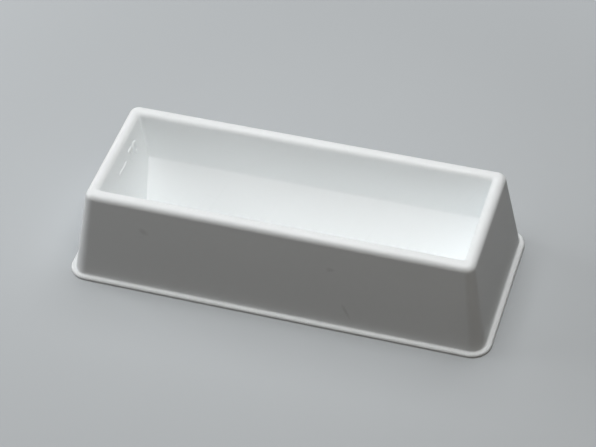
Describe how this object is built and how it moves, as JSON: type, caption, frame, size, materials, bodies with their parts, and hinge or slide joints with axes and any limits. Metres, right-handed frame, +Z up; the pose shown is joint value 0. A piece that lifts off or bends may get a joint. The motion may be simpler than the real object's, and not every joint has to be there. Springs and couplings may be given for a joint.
{
  "type": "reagent reservoir",
  "caption": "Shallow open trough with rounded bottom and flared skirt, for dipping a row of pipette tips, in one white moulding.",
  "frame": {"origin": "middle of the foot, on the surface that the reservoir stands on", "axes": "+X along the trough, +Y across it, +Z up out of the basin"},
  "size_m": [0.1446, 0.0608, 0.033],
  "materials": {
    "white_plastic": "opaque white formed plastic with a soft satin gloss"
  },
  "bodies": {
    "root": {"reservoir": "white_plastic"}
  },
  "joints": []
}
